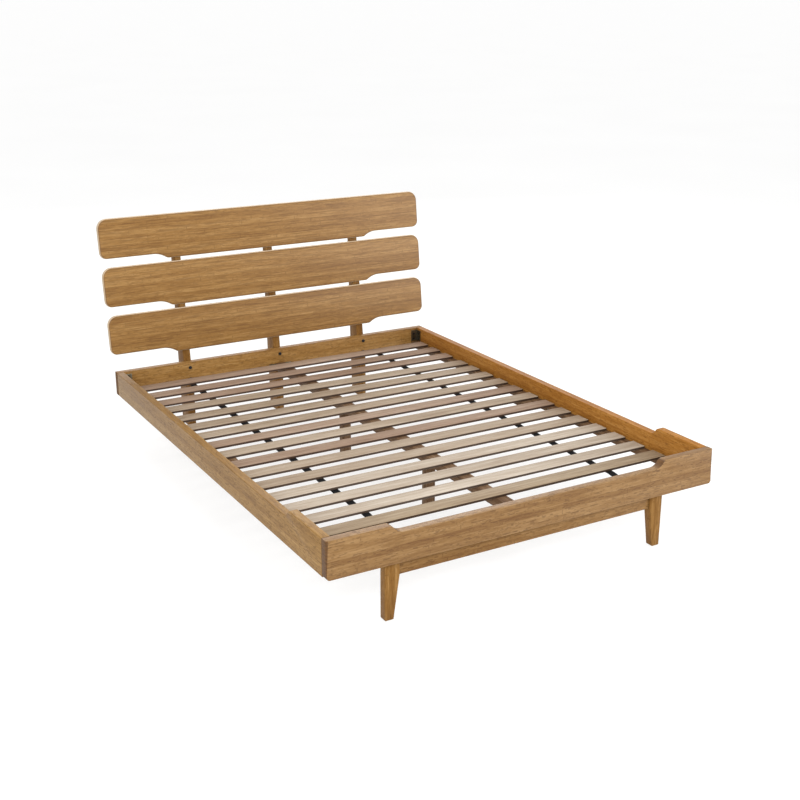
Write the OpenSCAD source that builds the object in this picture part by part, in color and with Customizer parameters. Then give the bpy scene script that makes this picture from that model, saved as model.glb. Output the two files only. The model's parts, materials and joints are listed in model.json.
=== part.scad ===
// Wooden platform bed frame for a queen mattress: four rails, a slatted base that lifts out,
// and three planks that lean back on three headboard posts.
// The origin is on the floor, below the middle of the frame. +Y points to the headboard, +Z is up.
// Everything is drawn from the foot rail's outer face, and the frame_at_origin module moves it.

/* [Overall size] */
// Width over the outer faces of the side rails
bed_w = 1600; // [1300:10:2000]
// Length from the foot rail's outer face to the head rail's back face
bed_l = 2120; // [1700:10:2600]
// Height of the rails' lower edges above the floor
rail_lift = 210; // [150:5:300]

/* [Rails] */
// Thickness of the four rails
rail_t = 32; // [26:1:40]
// Height of the rails between their raised corners
rail_h = 107; // [104:1:150]
// How far the foot end's corners stand above the rest of the rails
corner_rise = 29; // [15:1:45]
// Length of each raised corner along the foot rail, from its end
foot_corner_l = 225; // [150:5:300]
// Length over which the foot rail's top steps down
foot_step_run = 55; // [45:1:100]
// Length of the raised corner along a side rail, from the foot rail's outer face
side_corner_l = 264; // [150:5:400]
// Length over which a side rail's top steps down
side_step_run = 48; // [45:1:100]
// Radius where a raised corner starts to fall away
step_shoulder_r = 20; // [10:1:24]
// Radius of the foot rail's upright front corners, seen from above
foot_plan_r = 12; // [4:1:20]
// Radius of the foot rail's lower corners, seen from the front
foot_low_r = 12; // [4:1:30]

/* [Slatted base] */
// Width of a slat
slat_w = 69.5; // [50:0.5:80]
// Thickness of a slat
slat_t = 10; // [8:0.5:16]
// Gap between each slat's end and the side rail
slat_end_gap = 6; // [4:0.5:12]
// Clear space between the first slat and the head rail
slat_head_space = 49; // [46:1:120]
// Clear space between the last slat and the foot rail
slat_foot_space = 178; // [100:1:220]
// Turn of the fourth slat, which has slipped out of square, in degrees
fourth_slat_turn = -1.5; // [-1.5:0.1:1.5]
// Turn of the fifth slat, in degrees
fifth_slat_turn = -0.3; // [-1.5:0.1:1.5]
// Width of the webbing straps that join the slats
strap_w = 30; // [20:1:50]
// Thickness of the webbing straps
strap_t = 1.5; // [1:0.1:3]
// Distance from a slat's end to the middle of a strap
strap_inset = 276; // [100:1:350]
// Loose strap beyond the last slat
strap_foot_tail = 64; // [20:1:90]
// Loose strap beyond the first slat
strap_head_tail = 30; // [10:1:38]

/* [Slat supports] */
// Width of the ledgers that carry the slats' ends
ledger_w = 35; // [25:1:50]
// Height of the ledgers
ledger_h = 25; // [18:1:25]
// Height of the ledgers' undersides above the rails' undersides
ledger_z = 11; // [2:1:11]
// Width of the centre beam
beam_w = 46; // [40:1:60]
// Size of the square centre legs
centre_leg_w = 38; // [30:1:40]
// Reach of the side blocks beyond the ledgers
block_reach = 63; // [40:1:90]
// Length of the side blocks along the rails
block_l = 93; // [60:1:110]
// Height of the side blocks
block_h = 25; // [16:1:25]

/* [Foot legs] */
// Distance from the foot rail's end to a foot leg's outer face
foot_leg_inset = 218; // [120:1:300]
// Width of a foot leg at the top
foot_leg_w = 55; // [46:1:80]
// Width of a foot leg at the floor
foot_leg_toe_w = 32; // [24:1:45]
// Height below the rail at which a foot leg starts to taper
foot_leg_straight = 50; // [20:1:100]
// Distance from the foot rail's outer face to a foot leg's front
foot_leg_set_back = 18; // [8:1:22]
// Depth of a foot leg's tongue, which stands behind the foot rail
foot_tongue_d = 19.5; // [16:0.5:28]
// Height of a foot leg's tongue above the rail's underside
foot_tongue_h = 44; // [36:1:48]
// Height of the apron between the foot legs
apron_h = 54; // [30:1:70]
// Thickness of the apron
apron_t = 20; // [16:1:24]
// Distance from a foot leg's front to the apron's front
apron_set_back = 7; // [3:1:9]
// Thickness of the apron's tenons
tenon_t = 10; // [6:1:12]
// Length of the apron's tenons
tenon_l = 15; // [8:1:18]
// Shoulder above and below each tenon
tenon_shoulder = 8; // [4:1:12]

/* [Headboard] */
// Backward lean of the headboard, in degrees
lean = 7.1; // [0:0.1:12]
// Distance from the middle post to each outer post
post_x = 455; // [250:5:560]
// Width of a post
post_w = 35; // [28:1:50]
// Depth of a post behind the head rail's back, at the top of the rail
post_rail_d = 76; // [60:1:100]
// Depth of a post behind the head rail's back, at the floor
post_floor_d = 60; // [40:1:90]
// Depth of a post at its upper end
post_top_d = 18; // [17:1:40]
// Depth of the shoulder that the head rail stands on
post_shoulder = 24; // [10:1:26]
// Length of a post above the head rail
post_up = 655; // [640:5:700]
// Thickness of the headboard planks
plank_t = 22; // [18:1:30]
// How far a plank reaches beyond each side rail
plank_over = 13; // [0:1:60]
// Height of a plank in its middle
plank_h = 199; // [150:1:200]
// Gap between two planks
plank_gap = 16; // [8:1:40]
// Gap between the head rail's top and the lowest plank
plank_first = 53; // [30:1:60]
// Step in a plank's lower edge
plank_step = 22.5; // [8:0.5:40]
// Length of a plank's shallow end
plank_end_l = 242; // [120:1:320]
// Length over which a plank's lower edge steps down
plank_step_run = 74; // [60:1:120]
// Radius where the step meets a plank's deep middle
plank_step_r = 25; // [10:1:30]
// Radius of a plank's upper corners
plank_top_r = 45; // [10:1:60]
// Radius of a plank's lower corners
plank_low_r = 30; // [10:1:50]

/* [Fittings] */
// Length of each leaf of a corner bracket
bracket_w = 35; // [25:1:40]
// Height of a corner bracket
bracket_h = 56; // [40:1:58]
// Thickness of the brackets' steel
bracket_t = 3; // [2:0.5:4]
// Height of the beam's angle brackets
beam_bracket_h = 30; // [24:1:32]
// Radius of the frame bolts
bolt_r = 4; // [3:0.5:5]
// Radius of the frame bolts' heads
bolt_head_r = 7.5; // [6:0.5:10]
// Radius of the wood screws
screw_r = 2; // [1.5:0.1:2.5]
// Radius of the wood screws' heads
screw_head_r = 4; // [3:0.1:5]
// How deep a bracket's screw bites into the wood
screw_bite = 16; // [10:1:20]
// Thickness of the glides under the legs
glide_t = 2; // [1:0.5:5]

/* [Clearances] */
// Clearance between a fastener's shank and its hole, all round
hole_fit = 0.2; // [0.1:0.1:0.5]
// Gap between the end of a ledger or the beam and a rail
end_fit = 0.5; // [0.2:0.1:2]
// Gap round a tenon in its mortise
tenon_fit = 0.2; // [0.1:0.1:0.5]
// Gap between a corner bracket and the ledger below it
bracket_fit = 4; // [1:1:8]

/* [Hidden] */
$fn = 32;
slat_count = 16;
curve_steps = 8;

// Levels above the floor
rail_top = rail_lift + rail_h;
ledger_top = rail_lift + ledger_z + ledger_h;
bracket_z = ledger_top + bracket_fit;

// Inner faces of the rails
inner_x = bed_w / 2 - rail_t;
foot_y = rail_t;
head_y = bed_l - rail_t;

// The slats' places
slat_l = 2 * (inner_x - slat_end_gap);
slat_first_y = head_y - slat_head_space - slat_w / 2;
slat_last_y = foot_y + slat_foot_space + slat_w / 2;
slat_pitch = (slat_first_y - slat_last_y) / (slat_count - 1);
strap_x = slat_l / 2 - strap_inset;
strap_from = foot_y + slat_foot_space - strap_foot_tail;
strap_to = head_y - slat_head_space + strap_head_tail;

// The supports' places. The beam's underside is level with the rails', so its foot end stands on
// the apron.
ledger_x = inner_x - ledger_w;
block_x = ledger_x - block_reach;
block_y = bed_l / 2;
beam_h = ledger_z + ledger_h;
beam_bottom = ledger_top - beam_h;
centre_leg_ys = [bed_l / 3, bed_l * 2 / 3];
ledger_screw_count = 8;
ledger_screw_end = 60;
ledger_screw_l = ledger_w + screw_bite;
block_screw_y = 25;
block_screw_l = block_reach + screw_bite;

// The foot legs' places
foot_leg_out_x = bed_w / 2 - foot_leg_inset;
foot_leg_in_x = foot_leg_out_x - foot_leg_w;
foot_leg_d = rail_t - foot_leg_set_back + foot_tongue_d;
foot_bolt_x = 14;
foot_bolt_z = 22;
foot_bolt_bite = 22;
foot_bolt_l = foot_tongue_d + foot_bolt_bite;
apron_y = foot_leg_set_back + apron_set_back;

// The posts' and planks' places
post_xs = [-post_x, 0, post_x];
lean_y = sin(lean);
lean_z = cos(lean);
plank_l = bed_w + 2 * plank_over;
plank_pitch = plank_h + plank_gap;
plank_screw_v = 50;
plank_screw_seat = 12;
plank_screw_bite = 14;
plank_screw_l = plank_screw_seat + plank_screw_bite;
post_well = 110;
post_bolt_z = 81;
post_bolt_low_z = 25;
post_bolt_bite = 38;
post_bolt_l = rail_t + post_bolt_bite;

// Fastener details. A hexagonal socket takes socket_share of a head's height and of a shank's radius.
bolt_head_h = 4;
pan_head_h = 2.2;
socket_share = 0.6;
cut_over = 1;
bracket_screw_inset = 14;
bracket_screw_low = 12;
bracket_screw_drop = 18;
bracket_screw_zs = [bracket_screw_low, bracket_h - bracket_screw_drop];
beam_screw_edge = 8;
beam_screw_zs = [beam_screw_edge, beam_bracket_h - beam_screw_edge];
beam_bracket_drop = 2;
beam_bracket_z = ledger_top - beam_bracket_h - beam_bracket_drop;
leg_bolt_bite = 45;
leg_bolt_l = beam_h + leg_bolt_bite;
staple_w = 12;
staple_t = 0.8;
staple_leg = 7;
glide_inset = 3;

// The whole frame's depth, which reaches from the foot rail to the posts' upper ends
frame_d = bed_l + max(post_up * lean_y + post_top_d * lean_z, post_rail_d);

function slat_name(k) = str("slat_", k < 10 ? "0" : "", k);
function slat_y(k) = slat_first_y - (k - 1) * slat_pitch;
function slat_turn(k) = k == 4 ? fourth_slat_turn : k == 5 ? fifth_slat_turn : 0;

// ---------- outlines ----------

// Points along an arc, with both its ends
function arc(centre, r, from, to) =
    [for (i = [0:curve_steps]) let (a = from + (to - from) * i / curve_steps)
        centre + r * [cos(a), sin(a)]];

// Points of an S-shaped step from the high level at p down by rise, over run, towards dir (1 or -1).
// It is two arcs that meet at one slope: high_r is the radius of the upper one.
function s_step(p, dir, run, rise, high_r) =
    let (
        both_r = (rise * rise + run * run) / (2 * rise),
        turn = acos(1 - rise / both_r),
        low_r = both_r - high_r,
        low = p + [dir * run, -rise]
    )
    concat(
        [for (i = [0:curve_steps]) let (a = turn * i / curve_steps)
            p + high_r * [dir * sin(a), cos(a) - 1]],
        [for (i = [curve_steps - 1:-1:0]) let (a = turn * i / curve_steps)
            low + low_r * [-dir * sin(a), 1 - cos(a)]]
    );

// The whole outline from its right half, which runs from the lower middle to the upper middle
function both_halves(half) =
    concat(half, [for (i = [len(half) - 1:-1:0]) [-half[i][0], half[i][1]]]);

// ---------- placing ----------

// Puts what is drawn from the foot rail's outer face where the origin is under the frame's middle
module frame_at_origin() {
    translate([0, -frame_d / 2, 0]) children();
}

// Extrudes an outline of (x, z) points backwards from y
module upright_x(y, depth) {
    translate([0, y + depth, 0]) rotate([90, 0, 0]) linear_extrude(depth) children();
}

// Extrudes an outline of (y, z) points to the right from x
module upright_y(x, width) {
    translate([x, 0, 0]) rotate([90, 0, 90]) linear_extrude(width) children();
}

// The leaning plane that the planks' backs lie on: x along the bed, z up the lean, -y to the front
module on_lean() {
    translate([0, bed_l, rail_top]) rotate([-lean, 0, 0]) children();
}

// ---------- fasteners ----------

// A fastener along +Z whose head seats at z = 0, or the hole that it fits, with a well behind its head
module fastener(r, l, head_r, head_h, sunk = false, hole = false, well = 0) {
    difference() {
        union() {
            cylinder(r = hole ? r + hole_fit : r, h = l);
            if (sunk) cylinder(r1 = head_r, r2 = r, h = head_h);
            else translate([0, 0, -head_h]) cylinder(r = head_r, h = head_h);
            if (hole && well > 0) translate([0, 0, -well]) cylinder(r = head_r + hole_fit, h = well);
        }
        if (!hole) translate([0, 0, (sunk ? 0 : -head_h) - cut_over])
            cylinder(r = r * socket_share, h = cut_over + head_h * socket_share, $fn = 6);
    }
}

module bolt(l, hole = false) {
    fastener(bolt_r, l, bolt_head_r, bolt_head_h, hole = hole);
}

module pan_screw(hole = false) {
    fastener(screw_r, bracket_t + screw_bite, screw_head_r, pan_head_h, hole = hole);
}

module sunk_screw(l, hole = false) {
    fastener(screw_r, l, screw_head_r, screw_head_r - screw_r, sunk = true, hole = hole);
}

// Bolts through the head rail into the posts: two in each outer post, and one in the middle post,
// which the beam's end leaves no room below
module post_bolts_at(hole = false) {
    for (x = post_xs, z = x == 0 ? [post_bolt_z] : [post_bolt_low_z, post_bolt_z])
        translate([x, head_y, rail_lift + z]) rotate([-90, 0, 0]) bolt(post_bolt_l, hole);
}

// Two screws through each post into each plank, with their heads in wells in the post's back
module plank_screws_at(hole = false) {
    middle = plank_first + plank_h / 2;
    on_lean() for (x = post_xs, i = [0:2], dv = [-plank_screw_v, plank_screw_v])
        translate([x, plank_screw_seat, middle + i * plank_pitch + dv]) rotate([90, 0, 0])
            fastener(screw_r, plank_screw_l, screw_head_r, pan_head_h, hole = hole, well = post_well);
}

// Four screws through each corner bracket, two in each leaf
module corner_screws_at(hole = false) {
    out = bracket_w - bracket_screw_inset;
    for (side = [-1, 1], z = bracket_screw_zs) {
        for (y = [foot_y + out, head_y - out])
            translate([side * (inner_x - bracket_t), y, bracket_z + z]) rotate([0, side * 90, 0])
                pan_screw(hole);
        translate([side * (inner_x - out), foot_y + bracket_t, bracket_z + z]) rotate([90, 0, 0])
            pan_screw(hole);
        translate([side * (inner_x - out), head_y - bracket_t, bracket_z + z]) rotate([-90, 0, 0])
            pan_screw(hole);
    }
}

// Four screws through each of the beam's angle brackets, two in each leaf
module beam_screws_at(hole = false) {
    out = bracket_w - bracket_screw_inset;
    for (side = [-1, 1], z = beam_screw_zs) {
        for (y = [foot_y + out, head_y - out])
            translate([side * (beam_w / 2 + bracket_t), y, beam_bracket_z + z]) rotate([0, -side * 90, 0])
                pan_screw(hole);
        translate([side * (beam_w / 2 + out), foot_y + bracket_t, beam_bracket_z + z]) rotate([90, 0, 0])
            pan_screw(hole);
        translate([side * (beam_w / 2 + out), head_y - bracket_t, beam_bracket_z + z]) rotate([-90, 0, 0])
            pan_screw(hole);
    }
}

// A row of screws through each ledger into its side rail
module ledger_screws_at(hole = false) {
    first = foot_y + ledger_screw_end;
    step = (head_y - foot_y - 2 * ledger_screw_end) / (ledger_screw_count - 1);
    for (side = [-1, 1], i = [0:ledger_screw_count - 1])
        translate([side * ledger_x, first + i * step, ledger_top - ledger_h / 2]) rotate([0, side * 90, 0])
            sunk_screw(ledger_screw_l, hole);
}

// Two screws through each side block into its ledger
module block_screws_at(hole = false) {
    for (side = [-1, 1], dy = [-block_screw_y, block_screw_y])
        translate([side * block_x, block_y + dy, ledger_top - block_h / 2]) rotate([0, side * 90, 0])
            sunk_screw(block_screw_l, hole);
}

// One sunk bolt down through the beam into each centre leg
module centre_leg_bolts_at(hole = false) {
    for (y = centre_leg_ys)
        translate([0, y, ledger_top]) rotate([180, 0, 0])
            fastener(bolt_r, leg_bolt_l, bolt_head_r, bolt_head_h, sunk = true, hole = hole);
}

// Two bolts through each foot leg's tongue into the foot rail
module foot_leg_bolts_at(hole = false) {
    middle = (foot_leg_in_x + foot_leg_out_x) / 2;
    for (side = [-1, 1], dx = [-foot_bolt_x, foot_bolt_x])
        translate([side * middle + dx, foot_y + foot_tongue_d, rail_lift + foot_bolt_z])
            rotate([90, 0, 0]) bolt(foot_bolt_l, hole);
}

// The staple that holds a strap to slat k: a crown below the strap and two legs up into the slat
module staple(k, side) {
    translate([side * strap_x, slat_y(k) + side * strap_x * sin(slat_turn(k)), ledger_top - strap_t]) {
        translate([-staple_w / 2, -staple_t / 2, -staple_t]) cube([staple_w, staple_t, staple_t]);
        for (x = [-staple_w / 2, staple_w / 2 - staple_t])
            translate([x, -staple_t / 2, -staple_t / 2]) cube([staple_t, staple_t, staple_leg]);
    }
}

// One module per group of identical fasteners
module post_bolts() {
    color("black") post_bolts_at();
}

module plank_screws() {
    color("silver") plank_screws_at();
}

module corner_bracket_screws() {
    color("black") corner_screws_at();
}

module beam_bracket_screws() {
    color("black") beam_screws_at();
}

module ledger_screws() {
    color("silver") ledger_screws_at();
}

module mid_block_screws() {
    color("black") block_screws_at();
}

module centre_leg_bolts() {
    color("silver") centre_leg_bolts_at();
}

module foot_leg_bolts() {
    color("black") foot_leg_bolts_at();
}

// ---------- rails ----------

module side_rail(side) {
    color("burlywood") difference() {
        upright_y(side > 0 ? inner_x : -bed_w / 2, rail_t) polygon(concat(
            [[rail_t, rail_lift], [rail_t, rail_top + corner_rise]],
            s_step([side_corner_l, rail_top + corner_rise], 1, side_step_run, corner_rise, step_shoulder_r),
            [[head_y, rail_top], [head_y, rail_lift]]
        ));
        corner_screws_at(hole = true);
        ledger_screws_at(hole = true);
    }
}

module foot_rail() {
    color("peru") difference() {
        intersection() {
            upright_x(0, rail_t) polygon(both_halves(concat(
                arc([bed_w / 2 - foot_low_r, rail_lift + foot_low_r], foot_low_r, -90, 0),
                [[bed_w / 2, rail_top + corner_rise]],
                s_step([bed_w / 2 - foot_corner_l, rail_top + corner_rise], -1, foot_step_run, corner_rise,
                    step_shoulder_r)
            )));
            translate([0, 0, rail_lift]) linear_extrude(rail_h + corner_rise) polygon(both_halves(concat(
                arc([bed_w / 2 - foot_plan_r, foot_plan_r], foot_plan_r, -90, 0),
                [[bed_w / 2, rail_t]]
            )));
        }
        corner_screws_at(hole = true);
        beam_screws_at(hole = true);
        foot_leg_bolts_at(hole = true);
    }
}

module head_rail() {
    color("burlywood") difference() {
        translate([-bed_w / 2, head_y, rail_lift]) cube([bed_w, rail_t, rail_h]);
        corner_screws_at(hole = true);
        beam_screws_at(hole = true);
        post_bolts_at(hole = true);
    }
}

// ---------- slat supports ----------

module slat_ledger(side) {
    color("sienna") difference() {
        translate([side > 0 ? ledger_x : -inner_x, foot_y + end_fit, rail_lift + ledger_z])
            cube([ledger_w, head_y - foot_y - 2 * end_fit, ledger_h]);
        ledger_screws_at(hole = true);
        block_screws_at(hole = true);
    }
}

module mid_block(side) {
    color("saddlebrown") difference() {
        translate([side > 0 ? block_x : -ledger_x, block_y - block_l / 2, ledger_top - block_h])
            cube([block_reach, block_l, block_h]);
        block_screws_at(hole = true);
    }
}

module centre_beam() {
    color("sienna") difference() {
        translate([-beam_w / 2, foot_y + end_fit, beam_bottom])
            cube([beam_w, head_y - foot_y - 2 * end_fit, beam_h]);
        beam_screws_at(hole = true);
        centre_leg_bolts_at(hole = true);
    }
}

module centre_leg(y) {
    color("sienna") difference() {
        translate([-centre_leg_w / 2, y - centre_leg_w / 2, glide_t])
            cube([centre_leg_w, centre_leg_w, beam_bottom - glide_t]);
        centre_leg_bolts_at(hole = true);
    }
}

// ---------- foot legs and apron ----------

// The apron's tenons, or the mortises that they fit when fit is the gap round them
module apron_tenons(fit = 0) {
    reach = foot_leg_in_x + tenon_l + fit;
    translate([-reach, apron_y + (apron_t - tenon_t) / 2 - fit, rail_lift - apron_h + tenon_shoulder - fit])
        cube([2 * reach, tenon_t + 2 * fit, apron_h - 2 * tenon_shoulder + 2 * fit]);
}

module foot_leg(side) {
    toe_x = foot_leg_out_x - foot_leg_toe_w;
    color("burlywood") difference() {
        mirror([side > 0 ? 0 : 1, 0, 0]) union() {
            upright_x(foot_leg_set_back, foot_leg_d) polygon([
                [foot_leg_in_x, rail_lift], [foot_leg_out_x, rail_lift],
                [foot_leg_out_x, glide_t], [toe_x, glide_t],
                [foot_leg_in_x, rail_lift - foot_leg_straight]
            ]);
            translate([foot_leg_in_x, foot_y, rail_lift]) cube([foot_leg_w, foot_tongue_d, foot_tongue_h]);
        }
        apron_tenons(tenon_fit);
        foot_leg_bolts_at(hole = true);
    }
}

module foot_apron() {
    color("peru") union() {
        translate([-foot_leg_in_x, apron_y, rail_lift - apron_h])
            cube([2 * foot_leg_in_x, apron_t, apron_h]);
        apron_tenons();
    }
}

// ---------- headboard ----------

module headboard_post(x) {
    front_top = [bed_l + post_up * lean_y, rail_top + post_up * lean_z];
    color("peru") difference() {
        upright_y(x - post_w / 2, post_w) polygon([
            [bed_l - post_shoulder, glide_t], [bed_l - post_shoulder, rail_lift],
            [bed_l, rail_lift], [bed_l, rail_top],
            front_top, front_top + post_top_d * [lean_z, -lean_y],
            [bed_l + post_rail_d, rail_top], [bed_l + post_floor_d, glide_t]
        ]);
        post_bolts_at(hole = true);
        plank_screws_at(hole = true);
    }
}

// Plank i, counted from the lowest. Its lower edge steps up towards both ends.
module plank(i) {
    v = plank_first + i * plank_pitch;
    end_x = plank_l / 2;
    low_edge = s_step([end_x - plank_end_l, v + plank_step], -1, plank_step_run, plank_step,
        (plank_step * plank_step + plank_step_run * plank_step_run) / (2 * plank_step) - plank_step_r);
    color("burlywood") difference() {
        on_lean() upright_x(-plank_t, plank_t) polygon(both_halves(concat(
            [for (j = [len(low_edge) - 1:-1:0]) low_edge[j]],
            arc([end_x - plank_low_r, v + plank_step + plank_low_r], plank_low_r, -90, 0),
            arc([end_x - plank_top_r, v + plank_h - plank_top_r], plank_top_r, 0, 90)
        )));
        plank_screws_at(hole = true);
    }
}

// ---------- brackets ----------

// A steel angle in the corner at the origin, with its leaves along +X and +Y
module angle_bracket(height) {
    cube([bracket_w, bracket_t, height]);
    cube([bracket_t, bracket_w, height]);
}

// end is 1 at the head and -1 at the foot
module corner_bracket(side, end) {
    color("dimgray") difference() {
        translate([side * inner_x, end > 0 ? head_y : foot_y, bracket_z])
            mirror([side > 0 ? 1 : 0, 0, 0]) mirror([0, end > 0 ? 1 : 0, 0]) angle_bracket(bracket_h);
        corner_screws_at(hole = true);
    }
}

module beam_brackets(end) {
    color("dimgray") difference() {
        for (side = [-1, 1])
            translate([side * beam_w / 2, end > 0 ? head_y : foot_y, beam_bracket_z])
                mirror([side > 0 ? 0 : 1, 0, 0]) mirror([0, end > 0 ? 1 : 0, 0])
                    angle_bracket(beam_bracket_h);
        beam_screws_at(hole = true);
    }
}

// ---------- glides ----------

// A thin pad under a leg whose sole has its low corner at (x, y) and measures w by d
module glide(x, y, w, d) {
    translate([x + glide_inset, y + glide_inset, 0])
        cube([w - 2 * glide_inset, d - 2 * glide_inset, glide_t]);
}

module leg_glides() {
    color("tan") {
        for (x = [foot_leg_out_x - foot_leg_toe_w, -foot_leg_out_x])
            glide(x, foot_leg_set_back, foot_leg_toe_w, foot_leg_d);
        for (y = centre_leg_ys)
            glide(-centre_leg_w / 2, y - centre_leg_w / 2, centre_leg_w, centre_leg_w);
        for (x = post_xs)
            glide(x - post_w / 2, bed_l - post_shoulder, post_w, post_shoulder + post_floor_d);
    }
}

// ---------- slats and straps ----------

module slat(k) {
    color("tan") difference() {
        translate([0, slat_y(k), ledger_top]) rotate([0, 0, slat_turn(k)])
            translate([-slat_l / 2, -slat_w / 2, 0]) cube([slat_l, slat_w, slat_t]);
        for (side = [-1, 1]) staple(k, side);
    }
}

module strap(side) {
    color([0.05, 0.05, 0.05]) difference() {
        translate([side * strap_x - strap_w / 2, strap_from, ledger_top - strap_t])
            cube([strap_w, strap_to - strap_from, strap_t]);
        for (k = [1:slat_count]) staple(k, side);
    }
}

module strap_staples() {
    color("silver") for (k = [1:slat_count], side = [-1, 1]) staple(k, side);
}

// ---------- the bed ----------

frame_at_origin() side_rail(-1);  // side_rail_left
frame_at_origin() side_rail(1);  // side_rail_right
frame_at_origin() foot_rail();
frame_at_origin() head_rail();
frame_at_origin() slat_ledger(-1);  // slat_ledger_left
frame_at_origin() slat_ledger(1);  // slat_ledger_right
frame_at_origin() mid_block(-1);  // mid_block_left
frame_at_origin() mid_block(1);  // mid_block_right
frame_at_origin() centre_beam();
frame_at_origin() centre_leg(centre_leg_ys[1]);  // centre_leg_head
frame_at_origin() centre_leg(centre_leg_ys[0]);  // centre_leg_foot
frame_at_origin() foot_leg(-1);  // foot_leg_left
frame_at_origin() foot_leg(1);  // foot_leg_right
frame_at_origin() foot_apron();
frame_at_origin() headboard_post(post_xs[0]);  // headboard_post_left
frame_at_origin() headboard_post(post_xs[1]);  // headboard_post_center
frame_at_origin() headboard_post(post_xs[2]);  // headboard_post_right
frame_at_origin() plank(0);  // plank_bottom
frame_at_origin() plank(1);  // plank_middle
frame_at_origin() plank(2);  // plank_top
frame_at_origin() corner_bracket(-1, -1);  // corner_bracket_foot_left
frame_at_origin() corner_bracket(1, -1);  // corner_bracket_foot_right
frame_at_origin() corner_bracket(-1, 1);  // corner_bracket_head_left
frame_at_origin() corner_bracket(1, 1);  // corner_bracket_head_right
frame_at_origin() beam_brackets(-1);  // beam_brackets_foot
frame_at_origin() beam_brackets(1);  // beam_brackets_head
frame_at_origin() corner_bracket_screws();
frame_at_origin() beam_bracket_screws();
frame_at_origin() ledger_screws();
frame_at_origin() mid_block_screws();
frame_at_origin() centre_leg_bolts();
frame_at_origin() foot_leg_bolts();
frame_at_origin() post_bolts();
frame_at_origin() plank_screws();
frame_at_origin() leg_glides();
for (k = [1:slat_count]) frame_at_origin() slat(k);
frame_at_origin() strap(-1);  // strap_left
frame_at_origin() strap(1);  // strap_right
frame_at_origin() strap_staples();
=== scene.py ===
# %% [markdown]
# # A bamboo bed frame with a slatted base
# This lesson dresses a finished CAD model of a bed. The CAD model holds every size, so nothing here
# is measured again: each piece is made on the outline of the CAD solid that it stands for.
# The cells go from the tools, to the finishes, to the pieces, and end with the room and the camera.

# %% Open the frame
import json
import math

import bpy
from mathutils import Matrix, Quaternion, Vector

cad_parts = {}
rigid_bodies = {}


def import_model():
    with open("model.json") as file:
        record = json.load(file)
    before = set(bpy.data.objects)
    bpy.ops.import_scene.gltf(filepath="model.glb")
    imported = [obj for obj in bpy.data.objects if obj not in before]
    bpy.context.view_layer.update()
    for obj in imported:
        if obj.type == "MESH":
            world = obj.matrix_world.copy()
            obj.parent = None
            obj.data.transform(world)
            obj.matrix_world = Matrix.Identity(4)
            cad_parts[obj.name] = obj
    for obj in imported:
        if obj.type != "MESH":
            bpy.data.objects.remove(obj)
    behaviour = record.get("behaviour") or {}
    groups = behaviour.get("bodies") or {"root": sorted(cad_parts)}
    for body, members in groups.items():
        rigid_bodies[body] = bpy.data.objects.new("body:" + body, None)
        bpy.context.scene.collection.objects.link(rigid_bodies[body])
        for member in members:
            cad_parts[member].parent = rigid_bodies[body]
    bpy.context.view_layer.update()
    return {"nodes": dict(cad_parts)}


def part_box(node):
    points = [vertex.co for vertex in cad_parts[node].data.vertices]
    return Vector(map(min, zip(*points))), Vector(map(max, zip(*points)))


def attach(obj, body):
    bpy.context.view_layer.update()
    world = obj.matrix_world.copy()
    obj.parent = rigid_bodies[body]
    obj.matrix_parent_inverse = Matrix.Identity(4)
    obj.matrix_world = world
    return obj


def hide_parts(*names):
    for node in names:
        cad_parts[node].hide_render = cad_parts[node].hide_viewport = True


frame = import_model()
MM = 0.001

# %% [markdown]
# ## Helpers for node materials
# A procedural material is a small graph. Written out in full, each sum or product takes three lines,
# so these helpers wrap a node each: they take numbers or sockets, and return the output socket.

# %% Node helpers
def put(tree, socket, value):
    """Links a socket, or sets its number or colour."""
    if isinstance(value, bpy.types.NodeSocket):
        tree.links.new(value, socket)
    else:
        socket.default_value = value


def math_node(tree, operation, a, b=0.0, c=0.0, clamp=False):
    node = tree.nodes.new("ShaderNodeMath")
    node.operation = operation
    node.use_clamp = clamp
    for socket, value in zip(node.inputs, (a, b, c)):
        put(tree, socket, value)
    return node.outputs[0]


def vector_of(tree, x, y, z):
    node = tree.nodes.new("ShaderNodeCombineXYZ")
    for socket, value in zip(node.inputs, (x, y, z)):
        put(tree, socket, value)
    return node.outputs[0]


def product(tree, a, b):
    return math_node(tree, "MULTIPLY", a, b)


def off_centre(tree, place):
    """How far a place is from the middle of its own unit of length, from 0 to 0.5."""
    return math_node(tree, "ABSOLUTE", math_node(
        tree, "SUBTRACT", math_node(tree, "FRACT", place), 0.5))


def scaled(tree, parts, factors, offset=0.0):
    """The point whose three parts are each multiplied by a factor."""
    return vector_of(tree, *[
        math_node(tree, "MULTIPLY_ADD", part, factor, offset) for part, factor in zip(parts, factors)])


def noise(tree, vector, detail=2.0, roughness=0.5):
    node = tree.nodes.new("ShaderNodeTexNoise")
    node.inputs["Scale"].default_value = 1.0
    node.inputs["Detail"].default_value = detail
    node.inputs["Roughness"].default_value = roughness
    tree.links.new(vector, node.inputs["Vector"])
    return node.outputs["Fac"]


def random_of(tree, vector):
    """A random number and a random colour that stay the same over one cell."""
    node = tree.nodes.new("ShaderNodeTexWhiteNoise")
    node.noise_dimensions = "3D"
    tree.links.new(vector, node.inputs["Vector"])
    return node.outputs["Value"], node.outputs["Color"]


def ramp(tree, value, stops):
    """A colour ramp. stops are (place, colour)."""
    node = tree.nodes.new("ShaderNodeValToRGB")
    while len(node.color_ramp.elements) < len(stops):
        node.color_ramp.elements.new(0.5)
    for element, (place, colour) in zip(node.color_ramp.elements, stops):
        element.position = place
        element.color = (*colour, 1.0)
    tree.links.new(value, node.inputs["Fac"])
    return node.outputs["Color"]


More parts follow.
